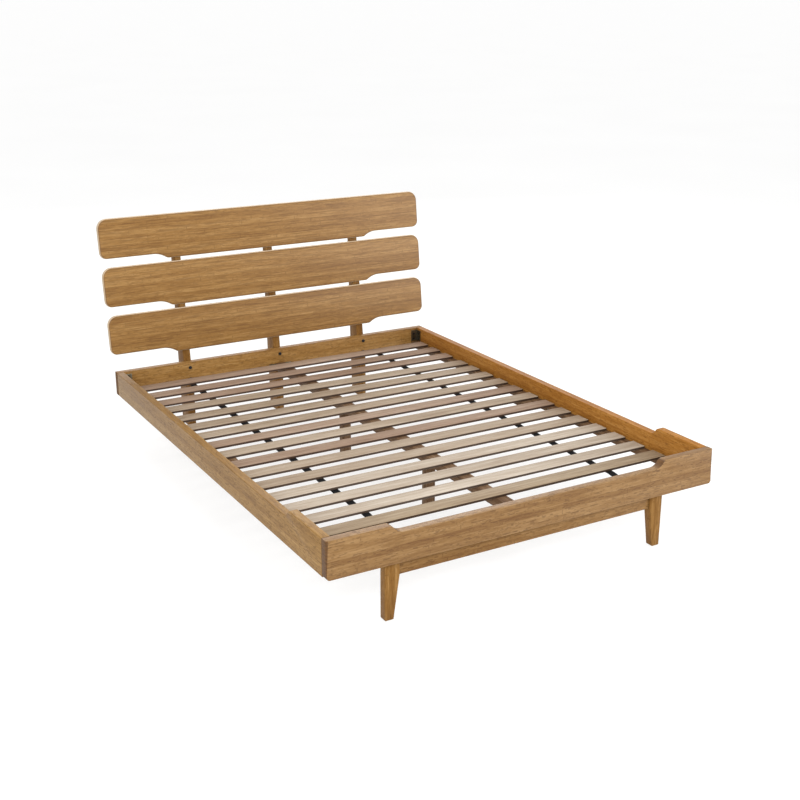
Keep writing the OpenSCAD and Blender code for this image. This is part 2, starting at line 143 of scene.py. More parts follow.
def mix_colour(tree, factor, a, b, blend="MIX"):
    node = tree.nodes.new("ShaderNodeMix")
    node.data_type = "RGBA"
    node.blend_type = blend
    for name, value in (("Factor_Float", factor), ("A_Color", a), ("B_Color", b)):
        socket = next(s for s in node.inputs if s.identifier == name)
        put(tree, socket, (*value, 1.0) if isinstance(value, tuple) else value)
    return next(s for s in node.outputs if s.identifier == "Result_Color")


def between(tree, value, low, high, to_low=0.0, to_high=1.0):
    """Maps low..high to to_low..to_high, smoothly and without going past either end."""
    node = tree.nodes.new("ShaderNodeMapRange")
    node.interpolation_type = "SMOOTHSTEP"
    put(tree, node.inputs["Value"], value)
    ends = (("From Min", low), ("From Max", high), ("To Min", to_low), ("To Max", to_high))
    for name, number in ends:
        node.inputs[name].default_value = number
    return node.outputs["Result"]


def layered(tree, layers):
    """Half, plus each layer's distance from half times its share. layers are (value, share)."""
    total = 0.5
    for value, share in layers:
        total = math_node(tree, "MULTIPLY_ADD", math_node(tree, "SUBTRACT", value, 0.5), share, total)
    return total


def new_material(name):
    """A material with its shader, and the x, y and z of the object's own coordinates."""
    material = bpy.data.materials.new(name)
    material.use_nodes = True
    tree = material.node_tree
    shader = tree.nodes["Principled BSDF"]
    place = tree.nodes.new("ShaderNodeTexCoord")
    split = tree.nodes.new("ShaderNodeSeparateXYZ")
    tree.links.new(place.outputs["Object"], split.inputs[0])
    return material, tree, shader, place, list(split.outputs)


def bump(tree, shader, height, depth, strength):
    """Raises the surface by height times depth, in metres."""
    node = tree.nodes.new("ShaderNodeBump")
    node.inputs["Distance"].default_value = depth
    node.inputs["Strength"].default_value = strength
    tree.links.new(height, node.inputs["Height"])
    tree.links.new(node.outputs["Normal"], shader.inputs["Normal"])


print("node helpers ready")

# %% [markdown]
# ## Bamboo
# Laminated bamboo is strips of cane glued edge to edge. Seen close, it has seven layers of detail:
# a slow change of tone along the board, a tone of its own for each strip, thin glue lines, long
# streaks, long thin dark lines, short dark dashes where the cane's fibre bundles surface, and the
# knuckles, which are faint bands across a strip at each joint of the cane.
# Noise that is only stretched looks like smooth clouds. Cane looks crisp across the grain, so the
# streaks, lines and dashes are noise read along narrow rows: the row number jumps from one row to the
# next, and only the place along the grain is smooth.
# A point is (u, v, w): along the grain, across the strips, and through the board. Each layer adds a
# number of its own to the seed, so that no two layers repeat each other. The pairs and fours of
# numbers in capitals are the ranges that between() maps.

# %% Rows of fibres
GRAIN_AXES = {"X": (0, 2, 1), "Y": (1, 2, 0), "Z": (2, 0, 1)}
ROW_STEP, DEPTH_STEP = 3.71, 2.93
ROW_ROUGHNESS = 0.6


def fibre_row(tree, point, height, per_metre, seed, detail=1.0):
    """Noise that is smooth along the grain and jumps across it, and a point's place in its row."""
    u, v, w = point
    place = math_node(tree, "DIVIDE", v, height)
    row = math_node(tree, "FLOOR", place)
    depth = math_node(tree, "FLOOR", math_node(tree, "DIVIDE", w, height))
    value = noise(tree, vector_of(
        tree, math_node(tree, "MULTIPLY_ADD", u, per_metre, seed), product(tree, row, ROW_STEP),
        math_node(tree, "MULTIPLY_ADD", depth, DEPTH_STEP, seed)), detail, ROW_ROUGHNESS)
    return value, off_centre(tree, place)


print("grain axes:", GRAIN_AXES)

# %% Strips, glue lines and knuckles
STRIP, STRIP_DEPTH = 0.020, 0.0165
GLUE_BAND, GLUE_SHOWS = (0.44, 0.5), (0.2, 0.7, 0.25, 1.0)
KNUCKLE_EVERY, KNUCKLE_HALF, KNUCKLE_SHIFT = 0.27, 0.0035, 9.0
KNUCKLE_SHOWS, KNUCKLE_FADE = (0.42, 0.62, 0.15, 1.0), (0.30, 0.48, 1.0, 0.2)


def cane_strips(tree, point, seed):
    """A strip's tone, its glue lines, its random shift, and how far a point is off its middle."""
    _, v, w = point
    across = math_node(tree, "DIVIDE", v, STRIP)
    strip_place = vector_of(
        tree, math_node(tree, "FLOOR", across),
        math_node(tree, "FLOOR", math_node(tree, "DIVIDE", w, STRIP_DEPTH)), seed)
    tone, colour = random_of(tree, strip_place)
    off_middle = off_centre(tree, across)
    channels = tree.nodes.new("ShaderNodeSeparateColor")
    tree.links.new(colour, channels.inputs[0])
    shift, gate, _ = channels.outputs
    glue = product(tree, between(tree, off_middle, *GLUE_BAND), between(tree, gate, *GLUE_SHOWS))
    return tone, glue, shift, off_middle


def knuckles(tree, u, shift, off_middle, streak):
    """Bands across a strip at a steady distance, from a start of the strip's own."""
    run = math_node(
        tree, "MULTIPLY_ADD", shift, KNUCKLE_SHIFT, math_node(tree, "DIVIDE", u, KNUCKLE_EVERY))
    gap = product(tree, off_centre(tree, run), KNUCKLE_EVERY)
    band = between(tree, gap, 0.0, KNUCKLE_HALF, 1.0, 0.0)
    band = product(tree, band, between(tree, streak, *KNUCKLE_SHOWS))
    return product(tree, band, between(tree, off_middle, *KNUCKLE_FADE))


print("strip height", STRIP, "m, a knuckle every", KNUCKLE_EVERY, "m")

# %% Dark dashes and dark lines
DASH_ROWS = ((0.0048, 31.0, 0.575), (0.0030, 52.0, 0.585))
DASH_RAMP, DASH_FADE, DASH_GATHER = 0.08, (0.25, 0.5, 1.0, 0.2), (0.38, 0.60, 0.35, 1.0)
LINE_HEIGHT, LINE_PER_METRE = 0.0036, 5.5
LINE_PEAKS, LINE_FADE = (0.52, 0.62), (0.20, 0.45, 1.0, 0.1)


def dark_dashes(tree, point, mottle, seed):
    """The high peaks of two sets of rows, gathered by the mottle."""
    dash = 0.0
    for height, per_metre, low in DASH_ROWS:
        value, off = fibre_row(tree, point, height, per_metre, seed + per_metre)
        spot = product(
            tree, between(tree, value, low, low + DASH_RAMP), between(tree, off, *DASH_FADE))
        dash = math_node(tree, "MAXIMUM", dash, spot)
    return product(tree, dash, between(tree, mottle, *DASH_GATHER))


def dark_lines(tree, point, seed):
    """Long thin lines, where a dark layer of the cane runs along the face."""
    value, off = fibre_row(tree, point, LINE_HEIGHT, LINE_PER_METRE, seed, 2.0)
    return product(tree, between(tree, value, *LINE_PEAKS), between(tree, off, *LINE_FADE))


print("dash rows per board:", len(DASH_ROWS))

# %% [markdown]
# The ends of a board show the fibres cut across. They soak up more lacquer and look darker, so the
# normal picks them out. A plank's round-over is painted paler, a painted highlight for the light its
# rounded edge catches, with a thin dark line where the flat face stops, and the normal picks those out
# too.

# %% End grain, and painted highlights on the rims
END_FACING = (0.15, 0.60)
END_PORE_SCALE, END_PORE_ROUGHNESS, END_LAYER_SCALE = (60.0, 420.0, 420.0), 0.7, (4.0, 150.0, 30.0)
END_PORE_SHARE, END_LAYER_SHARE, END_DARKER = 0.45, 0.55, 0.42
END_DARK_AT, END_LIGHT_AT = 0.35, 0.62
# A painted highlight: the paler tone a plank's round-over takes where it would catch the light.
RIM_HIGHLIGHT_TONE = (0.50, 0.39, 0.27)
RIM_TURN = (0.62, 0.90)
RIM_LINE_IN, RIM_LINE_OUT = (0.86, 0.93), (0.95, 0.985, 0.5, 0.0)


def end_grain(tree, point, dark, seed):
    pores = noise(tree, scaled(tree, point, END_PORE_SCALE, seed), 3.0, END_PORE_ROUGHNESS)
    layers = noise(tree, scaled(tree, point, END_LAYER_SCALE, seed + 5.0), 2.0)
    grain = math_node(
        tree, "MULTIPLY_ADD", pores, END_PORE_SHARE, product(tree, layers, END_LAYER_SHARE))
    darkest = tuple(c * END_DARKER for c in dark)
    return ramp(tree, grain, ((END_DARK_AT, darkest), (END_LIGHT_AT, dark)))


# Paints a highlight on a plank's round-over: paler as the normal turns off the flat face, with a thin
# dark line where that face stops.
def paint_rim_highlight(tree, colour, normal_y, rim_highlight, deep):
    flat = math_node(tree, "ABSOLUTE", normal_y)
    colour = mix_colour(tree, between(tree, flat, *RIM_TURN, rim_highlight, 0.0), colour, RIM_HIGHLIGHT_TONE)
    start = product(tree, between(tree, flat, *RIM_LINE_IN), between(tree, flat, *RIM_LINE_OUT))
    return mix_colour(tree, start, colour, deep)


print("pale edge", RIM_HIGHLIGHT_TONE)

# %% The bamboo finish
WANDER_SCALE, WANDER = (0.6, 2.0, 2.0), 0.010
BROAD_SCALE, FIBRE_SCALE = (2.2, 16.0, 16.0), (20.0, 1100.0, 1100.0)
MOTTLE_SCALE, MOTTLE_ROUGHNESS = (11.0, 95.0, 95.0), 0.65
STREAK_ROW, FINE_ROW = (0.0042, 8.0), (0.0019, 24.0)
TONE_SHARES = dict(strip=0.18, cloud=0.42, streak=0.52, fine=0.45, fibre=0.30)
MARK_SHARES = dict(knuckle=0.55, glue=0.42, dash=0.62)
JOINT_CORE, JOINT_DEPTH = 0.35, 0.92
DEEPER = (0.46, 0.36, 0.25)
DARK_AT, LIGHT_AT = 0.18, 0.82
LEAST_ROUGH, FINE_ROUGH, MARK_ROUGH, END_ROUGH, COAT_ROUGH = 0.30, 0.24, 0.12, 0.15, 0.32
STREAK_HEIGHT, FINE_HEIGHT, FIBRE_HEIGHT, MARK_HEIGHT = 0.35, 0.45, 0.30, -0.35
GRAIN_DEPTH, GRAIN_STRENGTH = 0.00030, 0.45


def bamboo(name, along, seed, dark, middle, light, dashes=0.9, joints=(), ends=0.9,
           gloss=0.18, coat=0.0, rim_highlight=0.0, cloudy=1.0, lines=0.0):
    material, tree, shader, place, parts = new_material(name)
    point = u, v, w = [parts[i] for i in GRAIN_AXES[along]]
    wander = noise(tree, scaled(tree, point, WANDER_SCALE, seed), 1.0)
    bent = (u, math_node(tree, "MULTIPLY_ADD", wander, WANDER, v), w)

    # The layers
    strip_tone, glue, shift, off_middle = cane_strips(tree, bent, seed)
    broad = noise(tree, scaled(tree, point, BROAD_SCALE, seed), 2.0)
    mottle = noise(tree, scaled(tree, point, MOTTLE_SCALE, seed + 3.0), 3.0, MOTTLE_ROUGHNESS)
    streak, _ = fibre_row(tree, bent, *STREAK_ROW, seed + 1.0, 2.0)
    fine, _ = fibre_row(tree, bent, *FINE_ROW, seed + 2.0, 2.0)
    fibre = noise(tree, scaled(tree, point, FIBRE_SCALE, seed), 2.0)
    dash = product(tree, dark_dashes(tree, bent, mottle, seed), dashes)
    line = dark_lines(tree, bent, seed + 7.0)
    knuckle = knuckles(tree, u, shift, off_middle, streak)

    # The tone, the dark marks on it, and painted shade along the seams
    cloud_share = TONE_SHARES["cloud"] * cloudy
    tone = layered(tree, (
        (strip_tone, TONE_SHARES["strip"]), (broad, cloud_share), (mottle, cloud_share),
        (streak, TONE_SHARES["streak"]), (fine, TONE_SHARES["fine"]), (fibre, TONE_SHARES["fibre"])))
    colour = ramp(tree, tone, ((DARK_AT, dark), (0.5, middle), (LIGHT_AT, light)))
    deep = tuple(c * k for c, k in zip(dark, DEEPER))
    marks = product(tree, knuckle, MARK_SHARES["knuckle"])
    for mark, share in ((glue, MARK_SHARES["glue"]), (dash, MARK_SHARES["dash"]), (line, lines)):
        marks = math_node(tree, "MAXIMUM", marks, product(tree, mark, share))
    # Painted shade: the side rails darken towards the seams where they meet the foot and head rails,
    # standing for the shadow in the gaps.
    for centre, half, axis in joints:
        off = math_node(tree, "ABSOLUTE", math_node(tree, "SUBTRACT", parts[axis], centre))
        seam_shade = between(tree, off, half * JOINT_CORE, half, JOINT_DEPTH, 0.0)
        marks = math_node(tree, "MAXIMUM", marks, seam_shade)
    colour = mix_colour(tree, marks, colour, deep)

    # The ends, and the painted highlight on the plank round-overs
    normal = tree.nodes.new("ShaderNodeSeparateXYZ")
    tree.links.new(place.outputs["Normal"], normal.inputs[0])
    facing = math_node(tree, "ABSOLUTE", normal.outputs[GRAIN_AXES[along][0]])
    end = between(tree, facing, *END_FACING)
    colour = mix_colour(tree, product(tree, end, ends), colour, end_grain(tree, point, dark, seed))
    if rim_highlight:
        colour = paint_rim_highlight(tree, colour, normal.outputs[1], rim_highlight, deep)
    tree.links.new(colour, shader.inputs["Base Color"])

    # The sheen and the relief
    rough = math_node(tree, "MULTIPLY_ADD", fine, FINE_ROUGH, LEAST_ROUGH)
    rough = math_node(tree, "MULTIPLY_ADD", marks, MARK_ROUGH, rough)
    tree.links.new(
        math_node(tree, "MULTIPLY_ADD", end, END_ROUGH, rough), shader.inputs["Roughness"])
    shader.inputs["Specular IOR Level"].default_value = gloss
    shader.inputs["Coat Weight"].default_value = coat
    shader.inputs["Coat Roughness"].default_value = COAT_ROUGH
    height = math_node(
        tree, "MULTIPLY_ADD", streak, STREAK_HEIGHT, product(tree, fine, FINE_HEIGHT))
    height = math_node(tree, "MULTIPLY_ADD", fibre, FIBRE_HEIGHT, height)
    height = math_node(tree, "MULTIPLY_ADD", marks, MARK_HEIGHT, height)
    bump(tree, shader, height, GRAIN_DEPTH, GRAIN_STRENGTH)
    return material


print("bamboo finish ready")

# %% One bamboo finish for each kind of board
# Part of the spread between these palettes is painted light: AMBER is brighter for the right rail,
# whose seen inner face gets less light, and TOFFEE is darker for the well-lit front of the foot rail.
HONEY = dict(dark=(0.132, 0.055, 0.010), middle=(0.228, 0.114, 0.028), light=(0.340, 0.197, 0.068))
TOFFEE = dict(dark=(0.122, 0.051, 0.011), middle=(0.202, 0.104, 0.031), light=(0.310, 0.184, 0.075))
AMBER = dict(dark=(0.200, 0.072, 0.010), middle=(0.330, 0.140, 0.025), light=(0.455, 0.230, 0.060))
CARAMEL = dict(dark=(0.115, 0.045, 0.008), middle=(0.192, 0.092, 0.022), light=(0.300, 0.165, 0.054))
STRAW = dict(dark=(0.165, 0.080, 0.020), middle=(0.258, 0.142, 0.041), light=(0.370, 0.225, 0.082))
# The planks' share for the round-over paints their rounded edges paler, as a painted highlight.
PLANK = dict(
    dashes=0.55, ends=0.2, gloss=0.22, coat=0.12, rim_highlight=0.85, cloudy=0.45, lines=0.48, **HONEY)
# Painted shade in the gaps where the side rails meet the foot and head rails: the seams' places along y
# and their half widths.
SEAM_HALF = 0.0036
side_seam_shade = [
    (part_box("side_rail_left")[0].y, SEAM_HALF, 1),
    (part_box("head_rail")[0].y, SEAM_HALF, 1),
]
wood = {
    "foot": bamboo("bamboo_foot_rail", "X", 3.0, gloss=0.28, coat=0.08, **TOFFEE),
    "head": bamboo("bamboo_head_rail", "X", 11.0, **HONEY),
    "left": bamboo("bamboo_side_left", "Y", 21.0, joints=side_seam_shade, **STRAW),
    "right": bamboo("bamboo_side_right", "Y", 35.0, joints=side_seam_shade, gloss=0.10, **AMBER),
    "plank_bottom": bamboo("bamboo_plank_bottom", "X", 41.0, **PLANK),
    "plank_middle": bamboo("bamboo_plank_middle", "X", 57.0, **PLANK),
    "plank_top": bamboo("bamboo_plank_top", "X", 63.0, **PLANK),
    "post": bamboo("bamboo_post", "Z", 77.0, dashes=0.5, gloss=0.08, **CARAMEL),
    "leg": bamboo("bamboo_leg", "Z", 83.0, dashes=0.5, gloss=0.08, **CARAMEL),
    "apron": bamboo("bamboo_apron", "X", 95.0, **TOFFEE),
}
print("bamboo finishes:", sorted(wood))

# %% [markdown]
# ## Plain woods
# The slats and the pieces under them are sawn from a solid softer wood, with no strips and no
# knuckles. Its rings show as long open bands: a noise stretched along the grain bends a row of rings,
# two sets of fibre rows add streaks, and a finer noise adds the pores. Each slat takes one of four
# tones, and its long edges are coloured very dark: partly the dark glue of laminated slats, partly
# painted shade on sides that the light from above misses.

# %% The plain wood finish
SAWN_AXES = {"X": (0, 1, 2), "Y": (1, 0, 2), "Z": (2, 0, 1)}
SWAY_SCALE, SWAY_BEND, RINGS_PER_METRE = (1.8, 14.0, 14.0), 34.0, 160.0
PLAIN_BROAD_SCALE, PORE_SCALE, PORE_ROUGHNESS = (1.1, 7.0, 7.0), (30.0, 800.0, 800.0), 0.65
FLECK_SCALE, FLECK_PEAKS, FLECK_SHARE, FLECK_DARKER = (26.0, 130.0, 130.0), (0.74, 0.82), 0.35, 0.3
COARSE_ROW, THIN_ROW = (0.0062, 3.5), (0.0026, 9.0)
RING_SHARE = 0.07
PLAIN_SHARES = dict(broad=0.7, pores=0.6, coarse=0.75, thin=0.55)
PLAIN_DARK_AT, PLAIN_LIGHT_AT = 0.15, 0.85
EDGE_TURN, EDGE_SHARE = (0.35, 0.75, 1.0, 0.0), 0.9
PLAIN_ROUGH, PORE_ROUGH, PLAIN_GLOSS = 0.52, 0.2, 0.15
PORE_HEIGHT, RING_HEIGHT, SAWN_DEPTH, SAWN_STRENGTH = 0.7, 0.05, 0.0004, 0.6


def sawn_wood(name, along, seed, dark, middle, light, ring=0.5, edge_tone=None):
    material, tree, shader, place, parts = new_material(name)
    point = [parts[i] for i in SAWN_AXES[along]]
    sway = noise(tree, scaled(tree, point, SWAY_SCALE, seed), 2.0)
    rings = math_node(tree, "SINE", math_node(
        tree, "MULTIPLY_ADD", sway, SWAY_BEND, product(tree, point[1], RINGS_PER_METRE)))
    broad = noise(tree, scaled(tree, point, PLAIN_BROAD_SCALE, seed + 5.0), 2.0)
    pores = noise(tree, scaled(tree, point, PORE_SCALE, seed), 3.0, PORE_ROUGHNESS)
    fleck = noise(tree, scaled(tree, point, FLECK_SCALE, seed + 9.0), 2.0)
    coarse, _ = fibre_row(tree, point, *COARSE_ROW, seed + 1.0, 2.0)
    thin, _ = fibre_row(tree, point, *THIN_ROW, seed + 2.0, 2.0)
    tone = layered(tree, (
        (broad, PLAIN_SHARES["broad"]), (pores, PLAIN_SHARES["pores"]),
        (coarse, PLAIN_SHARES["coarse"]), (thin, PLAIN_SHARES["thin"])))
    tone = math_node(tree, "MULTIPLY_ADD", rings, RING_SHARE * ring, tone)
    colour = ramp(tree, tone, ((PLAIN_DARK_AT, dark), (0.5, middle), (PLAIN_LIGHT_AT, light)))
    spots = product(tree, between(tree, fleck, *FLECK_PEAKS), FLECK_SHARE)
    colour = mix_colour(tree, spots, colour, tuple(c * FLECK_DARKER for c in dark))
    # Darkens a board's sides; on the slats this is partly their dark glue and partly painted shade.
    if edge_tone:
        normal = tree.nodes.new("ShaderNodeSeparateXYZ")
        tree.links.new(place.outputs["Normal"], normal.inputs[0])
        side = between(tree, math_node(tree, "ABSOLUTE", normal.outputs[2]), *EDGE_TURN)
        colour = mix_colour(tree, product(tree, side, EDGE_SHARE), colour, edge_tone)
    tree.links.new(colour, shader.inputs["Base Color"])
    tree.links.new(
        math_node(tree, "MULTIPLY_ADD", pores, PORE_ROUGH, PLAIN_ROUGH), shader.inputs["Roughness"])
    shader.inputs["Specular IOR Level"].default_value = PLAIN_GLOSS
    height = math_node(
        tree, "MULTIPLY_ADD", pores, PORE_HEIGHT, product(tree, rings, RING_HEIGHT))
    bump(tree, shader, height, SAWN_DEPTH, SAWN_STRENGTH)
    return material


print("plain wood finish ready")

# %% The slat and support finishes
SLAT_TONES = (
    dict(dark=(0.163, 0.100, 0.063), middle=(0.259, 0.176, 0.123), light=(0.355, 0.266, 0.201)),
    dict(dark=(0.201, 0.141, 0.091), middle=(0.308, 0.237, 0.170), light=(0.410, 0.338, 0.262)),
    dict(dark=(0.252, 0.189, 0.134), middle=(0.378, 0.311, 0.242), light=(0.496, 0.433, 0.357)),
    # The fourth tone is darker and yellower: painted shade for the last slat at the foot, which lies in
    # partial shade.
    dict(dark=(0.168, 0.112, 0.064), middle=(0.264, 0.196, 0.126), light=(0.368, 0.292, 0.204)),
)
# The last slat takes the fourth tone, darker as painted shade.
SLAT_DEALT = (0, 0, 0, 1, 1, 1, 1, 0, 1, 0, 1, 1, 2, 2, 2, 3)
# The slats' edge colour: partly the dark glue of laminated slats, partly painted shade.
SLAT_EDGE_GLUE_AND_SHADE = (0.026, 0.010, 0.005)
slat_woods = [
    sawn_wood(f"slat_wood_{i}", "X", 100.0 + 13.0 * i, edge_tone=SLAT_EDGE_GLUE_AND_SHADE, **tones)
    for i, tones in enumerate(SLAT_TONES)
]
# The supports' palette was set from their look in the shade under the slats, so its darkness is partly
# painted shade.
UNDER_WITH_SHADE = dict(dark=(0.060, 0.030, 0.014), middle=(0.118, 0.064, 0.031), light=(0.215, 0.132, 0.074))
under_y = sawn_wood("support_wood_long", "Y", 171.0, ring=1.0, **UNDER_WITH_SHADE)
under_z = sawn_wood("support_wood_upright", "Z", 183.0, ring=1.0, **UNDER_WITH_SHADE)
print("slat finishes:", len(slat_woods))

# %% [markdown]
# ## Metal, webbing and nylon
# The small pieces catch the eye where they shine. Painted steel is a dark shader with a fine
# orange-peel bump. Zinc is a metal with brushed roughness. Webbing is two sets of ribs that cross,
# which a pair of sine waves gives at the real pitch. The nylon glides are a soft plastic.

# %% Finishes of the small pieces
CLOUD_PER_METRE, GRIT_PER_METRE, FUZZ_PER_METRE = 90.0, 1800.0, 900.0
WORN, WORN_SHARE, WORN_LIGHTER, WORN_ADDED = (0.35, 0.75), 0.5, 1.5, 0.01
CLOUD_ROUGH, PEEL_STRENGTH = 0.18, 0.5
WARP_PITCH, WEFT_PITCH = 0.0016, 0.0022
WEAVE_SHARE, FUZZ_SHARE, WEAVE_BASE = 0.22, 0.5, 0.25
WEB_DARK, WEB_LIGHT = (0.1, (0.0015, 0.0015, 0.0018)), (0.9, (0.0110, 0.0110, 0.0125))
WEB_ROUGH, FUZZ_ROUGH, WEB_GLOSS, WEAVE_DEPTH, WEAVE_STRENGTH = 0.62, 0.20, 0.1, 0.0003, 0.8


def metal(name, colour, metallic, rough, peel):
    material, tree, shader, _, parts = new_material(name)
    cloud = noise(tree, scaled(tree, parts, [CLOUD_PER_METRE] * 3), 3.0)
    grit = noise(tree, scaled(tree, parts, [GRIT_PER_METRE] * 3), 2.0)
    worn = product(tree, between(tree, cloud, *WORN), WORN_SHARE)
    light = tuple(min(1.0, c * WORN_LIGHTER + WORN_ADDED) for c in colour)
    tree.links.new(mix_colour(tree, worn, colour, light), shader.inputs["Base Color"])
    tree.links.new(
        math_node(tree, "MULTIPLY_ADD", cloud, CLOUD_ROUGH, rough), shader.inputs["Roughness"])
    shader.inputs["Metallic"].default_value = metallic
    bump(tree, shader, grit, peel, PEEL_STRENGTH)
    return material


def ribs(tree, place, pitch):
    return math_node(tree, "SINE", product(tree, place, 2.0 * math.pi / pitch))


def webbing(name):
    material, tree, shader, _, parts = new_material(name)
    weave = product(tree, ribs(tree, parts[0], WARP_PITCH), ribs(tree, parts[1], WEFT_PITCH))
    fuzz = noise(tree, scaled(tree, parts, [FUZZ_PER_METRE] * 3), 2.0)
    tone = math_node(
        tree, "MULTIPLY_ADD", weave, WEAVE_SHARE,
        math_node(tree, "MULTIPLY_ADD", fuzz, FUZZ_SHARE, WEAVE_BASE), clamp=True)
    tree.links.new(ramp(tree, tone, (WEB_DARK, WEB_LIGHT)), shader.inputs["Base Color"])
    tree.links.new(
        math_node(tree, "MULTIPLY_ADD", fuzz, FUZZ_ROUGH, WEB_ROUGH), shader.inputs["Roughness"])
    shader.inputs["Specular IOR Level"].default_value = WEB_GLOSS
    bump(tree, shader, weave, WEAVE_DEPTH, WEAVE_STRENGTH)
    return material


black_steel = metal("black_oxide_steel", (0.006, 0.006, 0.007), 0.3, 0.38, 0.00004)
bronze_steel = metal("bronze_grey_steel", (0.150, 0.132, 0.092), 1.0, 0.26, 0.00006)
zinc_steel = metal("zinc_steel", (0.52, 0.53, 0.54), 1.0, 0.26, 0.00004)
nylon = metal("glide_nylon", (0.60, 0.52, 0.40), 0.0, 0.50, 0.00010)
black_webbing = webbing("black_webbing")
print("small finishes ready")

# %% [markdown]
# ## Making boards
# A CAD solid is a net of loose triangles with sharp edges and screw holes. A real board has edges
# that were eased with a router, and they catch the light, so each board is modelled again on the
# CAD solid's own outline: keep one face of a copy, keep only the outer edge of that face, fill it,
# extrude it by the board's thickness, and bevel all its sharp edges. That is how a joiner makes it:
# draw the outline on the stock, saw it, and run the router round.

# %% Edit mode helpers
MERGE_WITHIN = 0.01 * MM
SMOOTH_UNDER, SHARP_OVER = math.radians(32.0), math.radians(35.0)


def only(obj):
    """Makes obj the one selected and active object."""
    bpy.ops.object.select_all(action="DESELECT")
    obj.select_set(True)
    bpy.context.view_layer.objects.active = obj


def select_where(obj, kind, keep):
    """In edit mode, selects the items of a kind for which keep is true. Returns how many."""
    bpy.ops.mesh.select_mode(type=kind)
    bpy.ops.mesh.select_all(action="DESELECT")
    bpy.ops.object.mode_set(mode="OBJECT")
    mesh = obj.data
    chosen = 0
    for item in {"FACE": mesh.polygons, "EDGE": mesh.edges, "VERT": mesh.vertices}[kind]:
        item.select = keep(item)
        chosen += item.select
    bpy.ops.object.mode_set(mode="EDIT")
    return chosen


def cad_copy(name, node):
    """A merged copy of a CAD node's mesh, in edit mode."""
    obj = bpy.data.objects.new(name, frame["nodes"][node].data.copy())
    obj.data.materials.clear()
    bpy.context.scene.collection.objects.link(obj)
    only(obj)
    bpy.ops.object.mode_set(mode="EDIT")
    bpy.ops.mesh.select_all(action="SELECT")
    bpy.ops.mesh.remove_doubles(threshold=MERGE_WITHIN)
    return obj


def add_bevel(obj, width, segments, sharp=SHARP_OVER):
    modifier = obj.modifiers.new("eased_edges", "BEVEL")
    modifier.width = width
    modifier.segments = segments
    modifier.limit_method = "ANGLE"
    modifier.angle_limit = sharp
    modifier.harden_normals = False
    only(obj)
    bpy.ops.object.modifier_apply(modifier=modifier.name)


def dress(obj, node, material, body="bed_frame"):
    """Shades a finished piece, and lets it stand for its CAD node."""
    only(obj)
    bpy.ops.object.shade_smooth_by_angle(angle=SMOOTH_UNDER)
    obj.data.materials.clear()
    obj.data.materials.append(material)
    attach(obj, body)
    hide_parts(node)
    return obj


print("edit helpers ready")

# %% Draw and saw a board
SAME_WAY, SAME_PLANE, SAME_POINT = 0.999, 0.2 * MM, 0.001 * MM
STRAIGHT_UNDER = math.radians(0.3)


def saw_board(name, node, facing):
    """A board on the outline that a CAD node shows towards facing, as thick as the node is that way."""
    facing = Vector(facing).normalized()
    obj = cad_copy(name, node)
    bpy.ops.object.mode_set(mode="OBJECT")
    reach = [point.co.dot(facing) for point in obj.data.vertices]
    front, thick = max(reach), max(reach) - min(reach)
    bpy.ops.object.mode_set(mode="EDIT")
    select_where(obj, "FACE", lambda f: (
        f.normal.dot(facing) > SAME_WAY and f.center.dot(facing) > front - SAME_PLANE))
    bpy.ops.mesh.select_all(action="INVERT")
    bpy.ops.mesh.delete(type="FACE")

    # Keep the face's border, and of that only the loop that holds the outermost point
    bpy.ops.mesh.select_all(action="SELECT")
    bpy.ops.mesh.region_to_loop()
    bpy.ops.object.mode_set(mode="OBJECT")
    border = {edge.index for edge in obj.data.edges if edge.select}
    bpy.ops.object.mode_set(mode="EDIT")
    bpy.ops.mesh.select_all(action="SELECT")
    bpy.ops.mesh.delete(type="ONLY_FACE")
    bpy.ops.object.mode_set(mode="OBJECT")
    for edge in obj.data.edges:
        edge.select = edge.index not in border
    bpy.ops.object.mode_set(mode="EDIT")
    bpy.ops.mesh.delete(type="EDGE")
    bpy.ops.object.mode_set(mode="OBJECT")
    outermost = max(point.co.length for point in obj.data.vertices)
    bpy.ops.object.mode_set(mode="EDIT")
    select_where(obj, "VERT", lambda p: p.co.length > outermost - SAME_POINT)
    bpy.ops.mesh.select_linked()
    bpy.ops.mesh.select_all(action="INVERT")
    bpy.ops.mesh.delete(type="VERT")

    # Fill the outline, and saw it out of stock of the right thickness
    bpy.ops.mesh.select_all(action="SELECT")
    bpy.ops.mesh.dissolve_limited(angle_limit=STRAIGHT_UNDER)
    bpy.ops.mesh.select_all(action="SELECT")
    bpy.ops.mesh.edge_face_add()
    bpy.ops.mesh.extrude_region_move(TRANSFORM_OT_translate={"value": tuple(-facing * thick)})
    bpy.ops.mesh.select_all(action="SELECT")
    bpy.ops.mesh.normals_make_consistent(inside=False)
    bpy.ops.object.mode_set(mode="OBJECT")
    return obj


def board(node, facing, material, ease, segments=3, body="bed_frame"):
    """A finished board: sawn, eased all round, and dressed."""
    obj = saw_board(node + "_board", node, facing)
    add_bevel(obj, ease, segments)
    dress(obj, node, material, body)
    print(f"{obj.name}: {len(obj.data.polygons)} faces")
    return obj


# %% [markdown]
# ## The rails
# The side rails and the head rail are plain boards. The foot rail laps over the ends of the side
# rails and has rounded upright corners, so it is sawn from its back face, which shows the whole
# outline, and its two front uprights are rounded more than the rest before the router goes round.

# %% Side rails and head rail
RAIL_EASE, HEAD_RAIL_EASE = 3.5 * MM, 3.0 * MM
board("side_rail_left", (-1, 0, 0), wood["left"], RAIL_EASE)
board("side_rail_right", (1, 0, 0), wood["right"], RAIL_EASE)
board("head_rail", (0, -1, 0), wood["head"], HEAD_RAIL_EASE)

